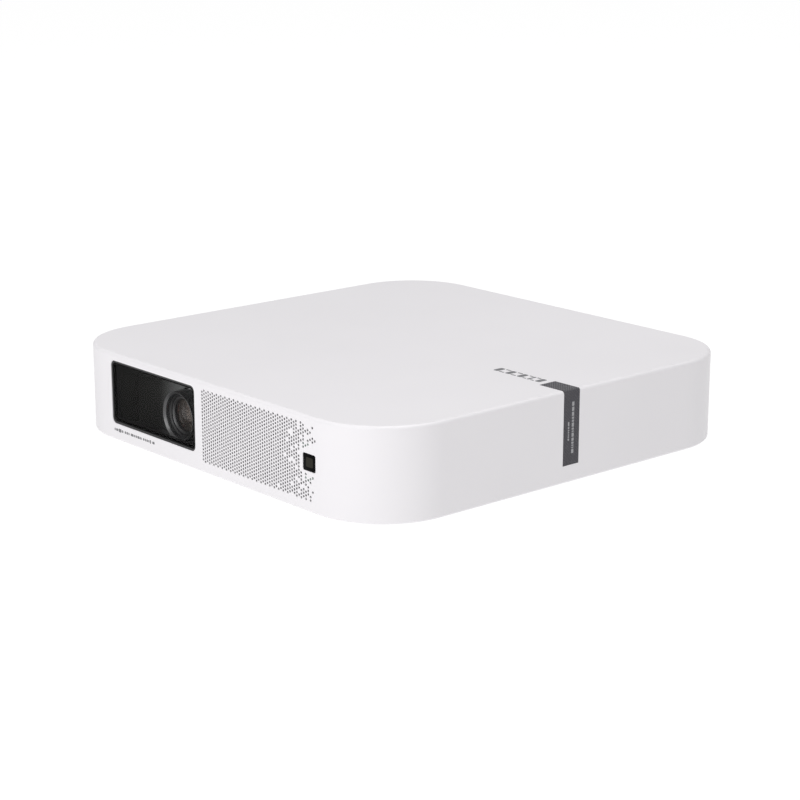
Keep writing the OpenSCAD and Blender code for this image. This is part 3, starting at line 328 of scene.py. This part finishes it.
finish = {
    "white_shell": plastic("whiteShell", (0.808, 0.79, 0.812),
                           (0.843, 0.825, 0.848), 0.46, 2600.0, 0.000012),
    "black_plastic": plastic("blackPlastic", (0.012, 0.012, 0.013),
                             (0.02, 0.02, 0.022), 0.5, 2200.0, 0.00002),
    "tinted_glass": glass("windowGlass", (0.004, 0.004, 0.004),
                          (0.007, 0.007, 0.007), 0.02, 0.0, 0.22, specular=0.1),
    "lens_glass": glass("lensGlass", (0.62, 0.56, 0.52),
                        (0.74, 0.68, 0.63), 0.01, 0.9, 1.0, 0.35, (1.0, 0.9, 0.84), 0.3),
    "mirror": metal("mirrorFace", (0.83, 0.84, 0.86), (0.9, 0.9, 0.92), 0.04, (60.0, 60.0, 60.0), 0.000001),
    "rubber": plastic("softRubber", (0.035, 0.035, 0.037),
                      (0.055, 0.055, 0.057), 0.78, 1600.0, 0.00004, 0.3),
    "steel": metal("platedSteel", (0.45, 0.46, 0.48), (0.6, 0.61, 0.63), 0.3, (3000.0, 200.0, 3000.0)),
    "aluminium": metal("castAluminium", (0.6, 0.61, 0.62),
                       (0.75, 0.76, 0.77), 0.36, (900.0, 900.0, 900.0), 0.00003),
    "copper": metal("bareCopper", (0.6, 0.28, 0.15), (0.78, 0.42, 0.26), 0.3, (900.0, 300.0, 900.0)),
    "brass": metal("turnedBrass", (0.6, 0.44, 0.17), (0.75, 0.58, 0.28), 0.25, (300.0, 300.0, 4000.0)),
    "circuit_board": boardMaterial(),
    "paper_cone": plastic("paperCone", (0.02, 0.019, 0.018),
                          (0.045, 0.043, 0.04), 0.85, 1200.0, 0.00006, 0.2),
    "woven_tag": tagMaterial("wovenTag", (0.02, 0.019, 0.023), (0.088, 0.085, 0.098), 1700.0),
}
finish["barrel_black"] = plastic("barrelBlack", (0.02, 0.02, 0.022),
                                 (0.03, 0.03, 0.033), 0.32, 1500.0, 0.00001)
finish["rim_metal"] = metal("rimMetal", (0.24, 0.24, 0.245),
                            (0.34, 0.34, 0.345), 0.4, (4000.0, 4000.0, 4000.0), 0.000006)
# red base and coat tint on the inner glass: painted reflection standing in for the coating's reddish glints
finish["coated_glass"] = glass("coatedGlassPaintedGlint", (0.7, 0.14, 0.09),
                               (0.8, 0.24, 0.14), 0.03, 0.0, 1.0, 1.0, (1.0, 0.5, 0.4))
finish["shroud"] = shroudPaintedLightMaterial()
finish["smoke"] = plastic("smokedPatch", (0.018, 0.017, 0.013),
                          (0.026, 0.024, 0.018), 0.12, 400.0, 0.000001, 0.06)
finish["pale_print"] = plastic("paleInk", (0.16, 0.16, 0.17), (0.22, 0.22, 0.23), 0.6, 3000.0, 0.000005)
finish["thread"] = plastic("lightThread", (0.3, 0.3, 0.31),
                           (0.44, 0.44, 0.46), 0.7, 9000.0, 0.00004, 0.3, 2500.0)
finish["dust_mesh"] = plastic("dustMesh", (0.03, 0.03, 0.031), (0.05, 0.05, 0.052), 0.9, 6000.0, 0.0001, 0.2)
finish["gloss_black"] = plastic("glossBlack", (0.0015, 0.0015, 0.0016),
                                (0.003, 0.003, 0.0032), 0.1, 400.0, 0.000001, 0.03)
print("materials made:", len(finish))

for part in frame["record"]["subparts"]:
    cad = nodes[part["node"]]
    cad.data.materials.clear()
    cad.data.materials.append(finish[part["material_slot"]])


def finishPiece(name, bm, body, materials, replaced=(), smoothAngle=35):
    mesh = bpy.data.meshes.new(name)
    bm.to_mesh(mesh)
    bm.free()
    piece = bpy.data.objects.new(name, mesh)
    bpy.context.scene.collection.objects.link(piece)
    for material in materials:
        mesh.materials.append(finish[material])
    for polygon in mesh.polygons:
        polygon.use_smooth = True
    mesh.set_sharp_from_angle(angle=math.radians(smoothAngle))
    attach(piece, body)
    if replaced:
        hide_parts(*replaced)
    print("piece:", name, len(mesh.polygons), "faces")
    return piece


def lathe(profile, centre, axis, steps=96):
    # spins (radius, depth) points about the axis, depth running along it
    axis = Vector(axis)
    side = Vector((1, 0, 0))
    bm = bmesh.new()
    points = [bm.verts.new(Vector(centre) + side*r*mm + axis*d*mm) for r, d in profile]
    edges = [bm.edges.new(pair) for pair in zip(points, points[1:])]
    bmesh.ops.spin(bm, geom=points + edges, cent=centre, axis=axis, dvec=(0, 0, 0), angle=full,
                   steps=steps, use_merge=True, use_normal_flip=False, use_duplicate=False)
    bmesh.ops.remove_doubles(bm, verts=bm.verts, dist=1e-7)
    bmesh.ops.recalc_face_normals(bm, faces=bm.faces)
    return bm


def roundedBlock(size, centre, cornerRadius, edgeRadius, axis="Y", cornerSteps=10, edgeSteps=3):
    # a block whose four edges along one axis are rounded first, then the rims of its two flat faces
    bm = bmesh.new()
    bmesh.ops.create_cube(bm, size=1.0, matrix=Matrix.Translation(centre) @ Matrix.Diagonal((*size, 1)))
    index = "XYZ".index(axis)
    uprights = [e for e in bm.edges
                if abs((e.verts[0].co - e.verts[1].co).normalized()[index]) > 0.99]
    bmesh.ops.bevel(bm, geom=uprights, offset=cornerRadius, offset_type="OFFSET", affect="EDGES",
                    segments=cornerSteps, profile=0.5, material=-1)
    if edgeRadius:
        rims = [e for e in bm.edges if len(e.link_faces) == 2
                and any(abs(f.normal[index]) > 0.99 for f in e.link_faces)
                and not all(abs(f.normal[index]) > 0.99 for f in e.link_faces)]
        bmesh.ops.bevel(bm, geom=rims, offset=edgeRadius, offset_type="OFFSET", affect="EDGES",
                        segments=edgeSteps, profile=0.5, material=-1)
    return bm


def joinInto(target, source):
    # adds one bmesh's geometry to another
    mesh = bpy.data.meshes.new("scratch")
    source.to_mesh(mesh)
    source.free()
    target.from_mesh(mesh)
    bpy.data.meshes.remove(mesh)


# Window: a dark pane with an opaque printed border on both faces
window = {"border": 0.4*mm, "bevel": 0.08*mm, "corner": 1.55*mm, "play": 0.05*mm}


def insetFaces(bm, direction, thickness):
    # insets the large flat face on that side and returns the face left inside
    flat = max((f for f in bm.faces if f.normal.dot(direction) > 0.99), key=lambda f: f.calc_area())
    bmesh.ops.inset_region(bm, faces=[flat], thickness=thickness, depth=0.0, use_even_offset=True)
    return flat


def buildWindow():
    size = glassBox[1] - glassBox[0] - Vector((2*window["play"], 0, 2*window["play"]))
    bm = roundedBlock(size, middle(glassBox), window["corner"], window["bevel"])
    clear = [insetFaces(bm, Vector((0, side, 0)), window["border"]) for side in (-1, 1)]
    for face in bm.faces:
        face.material_index = 0 if face in clear else 1
    finishPiece("window_pane", bm, "casing", ["tinted_glass", "gloss_black"],
                ["window_glass"])


buildWindow()
nodes["lens_shroud"].data.materials.clear()
nodes["lens_shroud"].data.materials.append(finish["shroud"])

# Sensor window: glossy, with a slightly lighter patch where the sensor looks out
sensorPane = {"corner": 0.75*mm, "bevel": 0.2*mm, "play": 0.04*mm,
              "patch": Vector((3.9, 0.06, 3.6))*mm, "patchCorner": 0.6*mm, "patchBevel": 0.02*mm}


def buildSensorPane():
    size = sensorBox[1] - sensorBox[0] - Vector((2*sensorPane["play"], 0, 2*sensorPane["play"]))
    bm = roundedBlock(size, middle(sensorBox), sensorPane["corner"], sensorPane["bevel"])
    finishPiece("sensor_pane", bm, "casing", ["gloss_black"], ["sensor_window"])
    centre = middle(sensorBox)
    centre.y = sensorBox[0].y
    bm = roundedBlock(sensorPane["patch"], centre, sensorPane["patchCorner"],
                      sensorPane["patchBevel"], "Y", 6, 1)
    finishPiece("sensor_eye", bm, "casing", ["smoke"])


buildSensorPane()

# Dust mesh: a dark cloth sheet behind the holes, open where the sensor and its board's posts stand
dustMesh = {"behind": 0.04*mm, "thick": 0.3*mm, "rim": 0.36*mm, "round": 0.15*mm}


def buildDustMesh():
    rim = dustMesh["rim"]
    low = Vector((grilleBox[0].x + rim, grilleBox[1].y + dustMesh["behind"], grilleBox[0].z + rim))
    high = Vector((grilleBox[1].x - rim, low.y + dustMesh["thick"], grilleBox[1].z - rim))
    gap = Vector((dustMesh["round"], 0, dustMesh["round"]))
    eyeLow, eyeHigh = sensorBox[0] - gap, sensorBox[1] + gap
    eyeLow.z, eyeHigh.z = sensorBoardBox[0].z - gap.z, sensorBoardBox[1].z + gap.z
    # one flat grid, cut open round the sensor and the posts of its board
    bm = bmesh.new()
    bmesh.ops.create_grid(bm, x_segments=1, y_segments=1, size=0.5)
    bmesh.ops.rotate(bm, verts=bm.verts, matrix=Matrix.Rotation(math.pi/2, 3, "X"))
    bmesh.ops.scale(bm, verts=bm.verts, vec=(high.x - low.x, 1, high.z - low.z))
    bmesh.ops.translate(bm, verts=bm.verts, vec=((low.x + high.x)/2, low.y, (low.z + high.z)/2))
    for direction in ((1, 0, 0), (0, 0, 1)):
        for place in (eyeLow, eyeHigh):
            bmesh.ops.bisect_plane(bm, geom=bm.verts[:] + bm.edges[:] + bm.faces[:],
                                   plane_co=place, plane_no=direction)
    opening = [f for f in bm.faces if eyeLow.x < f.calc_center_median().x < eyeHigh.x
               and eyeLow.z < f.calc_center_median().z < eyeHigh.z]
    bmesh.ops.delete(bm, geom=opening, context="FACES")
    bmesh.ops.recalc_face_normals(bm, faces=bm.faces)
    if bm.faces[:][0].normal.y > 0:
        bmesh.ops.reverse_faces(bm, faces=bm.faces)
    bmesh.ops.solidify(bm, geom=bm.faces[:], thickness=dustMesh["thick"])
    finishPiece("dust_mesh", bm, "casing", ["dust_mesh"])


buildDustMesh()

# Lens barrel: radii and depths behind the rim, in millimetres
barrel = {
    "neck": [(8.25, 6.0), (8.25, 26.0), (6.9, 26.0), (6.9, 8.6), (6.5, 7.6)],
    "floor": [(6.5, 3.6), (6.55, 3.45), (6.95, 2.85), (7.05, 2.75), (7.2, 2.75), (7.25, 3.1), (7.5, 3.15),
              (7.55, 3.0), (7.75, 2.95), (7.8, 3.15), (8.05, 3.15), (8.1, 2.95), (8.5, 2.35), (8.56, 2.25)],
    "grooves": 6, "grooveStart": 2.1, "grooveStep": 0.2, "grooveRadii": (8.68, 8.58),
    "rim": [(8.72, 0.95), (8.85, 0.82), (9.55, 0.1), (9.65, 0.0), (9.75, 0.0), (9.84, 0.06), (9.9, 0.2),
            (9.9, 1.2), (9.78, 1.32), (9.78, 1.62), (9.9, 1.74), (9.9, 5.9), (9.8, 6.0)],
    "brightRings": ((0.0, 0.82, 8.85, 9.85), (2.7, 3.5, 6.52, 7.15), (2.3, 3.0, 8.08, 8.55)),
}
lensCentre = Vector((lensX, rimY, lensZ))


def buildBarrel():
    grooves = [(barrel["grooveRadii"][k % 2], barrel["grooveStart"] - k*barrel["grooveStep"])
               for k in range(barrel["grooves"])]
    profile = barrel["floor"] + grooves + barrel["rim"] + barrel["neck"] + barrel["floor"][:1]
    bm = lathe(profile, lensCentre, (0, 1, 0), 128)
    for face in bm.faces:
        spot = face.calc_center_median() - lensCentre
        radius = math.hypot(spot.x, spot.z)/mm
        depth = spot.y/mm
        bright = any(d0 <= depth < d1 and r0 < radius < r1 for d0, d1, r0, r1 in barrel["brightRings"])
        face.material_index = 1 if bright else 0
    finishPiece("lens_body", bm, "lens_slide", ["barrel_black", "rim_metal"],
                ["lens_barrel"])


buildBarrel()

# Lens elements: a domed front glass, and a second coated glass in a cell further in, whose red colour is a
# painted reflection standing in for the coating's reddish glints
element = {"front": 3.1, "dome": 14.0, "radius": 6.45, "back": 7.55, "steps": 9,
           "backDish": [(3.6, -0.5), (0, -0.8)],
           "inner": 8.9, "innerDome": 8.0, "innerRadius": 4.9, "innerBack": 12.0,
           "cell": [(4.95, 10.9), (5.3, 10.5), (6.8, 10.2), (6.85, 10.4), (6.85, 13.0), (4.95, 13.0),
                    (4.95, 10.9)]}


def domeProfile(front, dome, radius, steps):
    radii = [radius*k/steps for k in range(steps + 1)]
    return [(r, front + dome - math.sqrt(dome**2 - r**2)) for r in radii]


def buildElements():
    rim = element["radius"]
    profile = domeProfile(element["front"], element["dome"], rim - 0.5, element["steps"])
    profile += [(rim - 0.1, profile[-1][1] + 0.1), (rim, profile[-1][1] + 0.3), (rim, element["back"] - 0.1),
                (rim - 0.3, element["back"])]
    profile += [(r, element["back"] + rise) for r, rise in element["backDish"]]
    bm = lathe(profile, lensCentre, (0, 1, 0), 96)
    finishPiece("front_element", bm, "lens_slide", ["lens_glass"], ["front_lens"])
    profile = domeProfile(element["inner"], element["innerDome"], element["innerRadius"], element["steps"])
    profile += [(element["innerRadius"], element["innerBack"]), (0, element["innerBack"])]
    bm = lathe(profile, lensCentre, (0, 1, 0), 72)
    finishPiece("inner_element", bm, "lens_slide", ["coated_glass"])
    bm = lathe(element["cell"], lensCentre, (0, 1, 0), 72)
    finishPiece("inner_cell", bm, "lens_slide", ["barrel_black"])


buildElements()

# Feet: soft rubber with a dished middle, so that each stands on a ring
foot = {"radius": 8.0*mm,
        "profile": [(0, 0.4), (4.4, 0.4), (5.0, 0.25), (5.3, 0.0), (7.2, 0.0), (7.7, 0.12), (7.95, 0.5),
                    (8.0, 1.2), (8.0, 3.2), (7.9, 3.28), (0, 3.28)]}


def buildFeet():
    feet = bmesh.new()
    for x in (footBox[0].x + foot["radius"], footBox[1].x - foot["radius"]):
        for y in (footBox[0].y + foot["radius"], footBox[1].y - foot["radius"]):
            joinInto(feet, lathe(foot["profile"], (x, y, footBox[0].z), (0, 0, 1), 64))
    finishPiece("moulded_feet", feet, "casing", ["rubber"], ["rubber_feet"])


buildFeet()

# Printed marks: plain bars only, in place of any lettering
marks = {"top": (56.4, 80.6), "topY": 0.2, "front": (-61.6, -34.5), "frontZ": 7.0, "thick": 0.06,
         "topGap": 0.55, "frontGaps": (0.35, 0.35, 0.9)}


def printBar(target, size, centre, axis):
    joinInto(target, roundedBlock(size, centre, 0.3*min(s for s in size if s > 0.0002), 0.01*mm, axis, 3, 1))


def buildMarks():
    random.seed(5)
    top = bmesh.new()
    x = marks["top"][0]
    tall = True
    while x < marks["top"][1] - 1:
        width = random.choice((0.8, 1.1, 2.6)) if tall else random.choice((1.9, 2.6))
        for y, height in (((0, 4.6),) if tall else ((1.9, 0.8), (-1.9, 0.8))):
            size = Vector((width, height, marks["thick"]))*mm
            printBar(top, size, Vector(((x + width/2)*mm, (marks["topY"] + y)*mm, topZ)), "Z")
        x += width + marks["topGap"]
        tall = not tall
    finishPiece("top_mark", top, "casing", ["pale_print"])
    front = bmesh.new()
    x = marks["front"][0]
    while x < marks["front"][1]:
        width = random.choice((0.7, 1.0, 1.5, 1.9))
        height = random.choice((1.0, 1.0, 1.45))
        size = Vector((width, marks["thick"], height))*mm
        printBar(front, size, Vector(((x + width/2)*mm, frontY, marks["frontZ"]*mm)), "Y")
        x += width + random.choice(marks["frontGaps"])
    finishPiece("front_mark", front, "casing", ["pale_print"])


buildMarks()


# Tag: a woven ribbon folded over the right edge, with two rows of stitched bars (offset, width, first, last)
tag = {"thick": 0.42*mm, "proud": 0.06*mm, "fold": 0.75*mm, "across": 12, "step": 0.8*mm, "side": 0.05*mm,
       "rows": ((0.7*mm, 1.1*mm, 4.6*mm, 24.5*mm), (-1.5*mm, 0.7*mm, 12*mm, 18.5*mm)),
       "lengths": (0.5, 0.8, 1.2, 1.6), "gap": 0.32*mm, "stitch": 0.14*mm}


def onlyOf(geometry, kind):
    return [g for g in geometry if isinstance(g, kind)]


def pullEdge(bm, geometry, length, direction):
    # extrudes a row of edges along the ribbon in even steps, and returns its last row
    steps = round(length/tag["step"])
    for index in range(steps):
        geometry = bmesh.ops.extrude_edge_only(bm, edges=onlyOf(geometry, bmesh.types.BMEdge))["geom"]
        moved = onlyOf(geometry, bmesh.types.BMVert)
        bmesh.ops.translate(bm, verts=moved, vec=Vector(direction)*length/steps)
    return geometry


def buildTag():
    low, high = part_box("side_tag")
    bm = bmesh.new()
    halfWidth = (high.y - low.y)/2 - tag["side"]
    centreY = (low.y + high.y)/2
    line = []
    for index in range(tag["across"] + 1):
        share = index/tag["across"]*2 - 1
        line.append(bm.verts.new((low.x, centreY + share*halfWidth, topZ + tag["proud"])))
    edges = [bm.edges.new(pair) for pair in zip(line, line[1:])]
    span = high.x - tag["fold"] - low.x
    geometry = pullEdge(bm, line + edges, span, (1, 0, 0))
    pivot = (high.x - tag["fold"], 0, topZ - tag["fold"])
    row = [g for g in geometry if not isinstance(g, bmesh.types.BMFace)]
    turned = bmesh.ops.spin(bm, geom=row, cent=pivot, axis=(0, 1, 0), dvec=(0, 0, 0), angle=math.pi/2,
                            steps=10, use_merge=False, use_normal_flip=False, use_duplicate=False)
    drop = topZ - tag["fold"] - low.z
    pullEdge(bm, turned["geom_last"], drop, (0, 0, -1))
    bmesh.ops.remove_doubles(bm, verts=bm.verts, dist=1e-6)
    # ribbon coordinates in metres: across the ribbon, and along it over the fold
    layer = bm.loops.layers.uv.new("ribbon")
    for face in bm.faces:
        for loop in face.loops:
            co = loop.vert.co
            if co.x < pivot[0]:
                along = co.x - low.x
            elif co.z < pivot[2]:
                along = span + tag["fold"]*math.pi/2 + pivot[2] - co.z
            else:
                along = span + tag["fold"]*math.atan2(co.x - pivot[0], co.z - pivot[2])
            loop[layer].uv = (co.y - centreY + 0.02, along)
    bmesh.ops.recalc_face_normals(bm, faces=bm.faces)
    if bm.faces[0].normal.z < 0 or any(f.normal.x < -0.5 for f in bm.faces):
        bmesh.ops.reverse_faces(bm, faces=bm.faces)
    bmesh.ops.solidify(bm, geom=bm.faces[:], thickness=tag["thick"])
    finishPiece("woven_tag", bm, "casing", ["woven_tag"], ["side_tag"], 60)
    random.seed(11)
    stitches = bmesh.new()
    outside = high.x + tag["proud"]
    for offset, width, first, last in tag["rows"]:
        z = topZ - first
        while z > topZ - last:
            length = random.choice(tag["lengths"])*mm
            place = Vector((outside, centreY + offset, z - length/2))
            bar = roundedBlock((tag["stitch"], width, length), place, 0.1*mm, 0.04*mm, "X", 3, 1)
            joinInto(stitches, bar)
            z -= length + tag["gap"]
    finishPiece("tag_stitches", stitches, "casing", ["thread"])


buildTag()


# Rear details: contacts in the two wide sockets, rings round the round ones and a raised sign
rear = {"contact": Vector((0.42, 3.6, 0.05))*mm, "contactSet": 0.3*mm, "tongueBack": 5.5*mm,
        # socket, number of contacts, their pitch and the tongue's thickness
        "sockets": (("hdmi_socket", 9, 1.0, 1.0), ("usb_socket", 4, 2.2, 1.8)),
        # socket, bore and outer radius, height of its centre
        "rings": (("audio_socket", 1.8, 2.5, 3.1), ("power_socket", 3.25, 3.8, 5.5)),
        "signRadius": 1.5, "signWidth": 0.32, "signProud": 0.05, "signBar": 1.7}


def buildContacts():
    contacts = bmesh.new()
    for name, count, pitch, tongue in rear["sockets"]:
        low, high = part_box(name)
        front = high.y - rear["tongueBack"]
        for index in range(count):
            x = (low.x + high.x)/2 + (index - (count - 1)/2)*pitch*mm
            z = (low.z + high.z)/2 + tongue*mm/2
            centre = Vector((x, front - rear["contactSet"] - rear["contact"].y/2, z))
            joinInto(contacts, roundedBlock(rear["contact"], centre, 0.1*mm, 0.015*mm, "Z", 3, 1))
    finishPiece("socket_contacts", contacts, "casing", ["brass"])


def buildJackRings():
    rings = bmesh.new()
    for name, bore, outside, reach in rear["rings"]:
        low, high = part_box(name)
        centre = Vector(((low.x + high.x)/2, high.y, low.z + reach*mm))
        joinInto(rings, lathe([(bore, 0.5), (bore, -0.05), (bore + 0.1, -0.15), (outside - 0.1, -0.15),
                               (outside, -0.05), (outside, 0.08), (bore, 0.5)], centre, (0, -1, 0), 64))
    finishPiece("jack_rings", rings, "casing", ["steel"])


def buildButtonSign():
    low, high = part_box("power_button")
    middleX = (low.x + high.x)/2
    middleZ = (low.z + high.z)/2
    face = high.y
    sign = bmesh.new()
    inner = rear["signRadius"] - rear["signWidth"]/2
    outer = rear["signRadius"] + rear["signWidth"]/2
    proud = rear["signProud"]
    joinInto(sign, lathe([(inner, 0.05), (inner, -proud), (outer, -proud), (outer, 0.05), (inner, 0.05)],
                         (middleX, face, middleZ), (0, -1, 0), 64))
    bar = Vector((rear["signWidth"], 2*proud, rear["signBar"]))*mm
    joinInto(sign, roundedBlock(bar, Vector((middleX, face, middleZ)), 0.12*mm, 0.015*mm, "Y", 4, 1))
    finishPiece("button_sign", sign, "button", ["pale_print"])


buildContacts()
buildJackRings()
buildButtonSign()


stage = {"reach": 12.0, "glow": 0.95, "tone": 0.1}


def buildStage():
    bm = bmesh.new()
    bmesh.ops.create_grid(bm, x_segments=8, y_segments=8, size=stage["reach"])
    mesh = bpy.data.meshes.new("studioFloor")
    bm.to_mesh(mesh)
    bm.free()
    floor = bpy.data.objects.new("studioFloor", mesh)
    bpy.context.scene.collection.objects.link(floor)
    material = bpy.data.materials.new("paleFloor")
    material.use_nodes = True
    shader = material.node_tree.nodes["Principled BSDF"]
    shader.inputs["Base Color"].default_value = (stage["tone"], stage["tone"], stage["tone"], 1)
    shader.inputs["Roughness"].default_value = 0.9
    shader.inputs["Specular IOR Level"].default_value = 0.0
    shader.inputs["Emission Color"].default_value = (1, 1, 1, 1)
    shader.inputs["Emission Strength"].default_value = stage["glow"]
    mesh.materials.append(material)
    print("stage: floor", 2*stage["reach"], "m across")


def addLamp(name, place, aim, size, power):
    light = bpy.data.lights.new(name, "AREA")
    light.shape = "RECTANGLE"
    light.size, light.size_y = size
    light.energy = power
    lamp = bpy.data.objects.new(name, light)
    lamp.location = place
    lamp.rotation_euler = (Vector(aim) - Vector(place)).to_track_quat("-Z", "Y").to_euler()
    bpy.context.scene.collection.objects.link(lamp)
    return lamp


# Lamps: place, aim, size in metres and power in watts
studio = {
    "sky": 0.39,
    "topSoftbox": ((0.1, 0.25, 1.5), (0, 0, 0), (1.0, 1.0), 13.4),
    "frontSoftbox": ((0.23, -0.68, 0.27), (0.06, -0.09, 0.02), (0.4, 0.35), 2.0),
}


def buildLight():
    world = bpy.data.worlds.new("studio")
    world.use_nodes = True
    world.node_tree.nodes["Background"].inputs["Color"].default_value = (1, 1, 1, 1)
    world.node_tree.nodes["Background"].inputs["Strength"].default_value = studio["sky"]
    bpy.context.scene.world = world
    for name in ("topSoftbox", "frontSoftbox"):
        addLamp(name, *studio[name])
    print("lamps placed: 2")


view = {"azimuth": 48.93, "elevation": 15.07, "distance": 0.8357, "lens": 93.56,
        "aim": Vector((2.1, -1.5, 15.0))*mm}


def buildCamera():
    a = math.radians(view["azimuth"])
    e = math.radians(view["elevation"])
    back = Vector((math.sin(a)*math.cos(e), -math.cos(a)*math.cos(e), math.sin(e)))
    data = bpy.data.cameras.new("camera")
    data.lens = view["lens"]
    data.sensor_width = 36.0
    data.clip_end = 50.0
    camera = bpy.data.objects.new("camera", data)
    camera.location = view["aim"] + back*view["distance"]
    camera.rotation_euler = (-back).to_track_quat("-Z", "Y").to_euler()
    bpy.context.scene.collection.objects.link(camera)
    bpy.context.scene.camera = camera
    print("camera placed:", view["distance"], "m away")


buildStage()
buildLight()
buildCamera()
bpy.context.scene.view_settings.view_transform = "Standard"
bpy.context.scene.view_settings.look = "None"
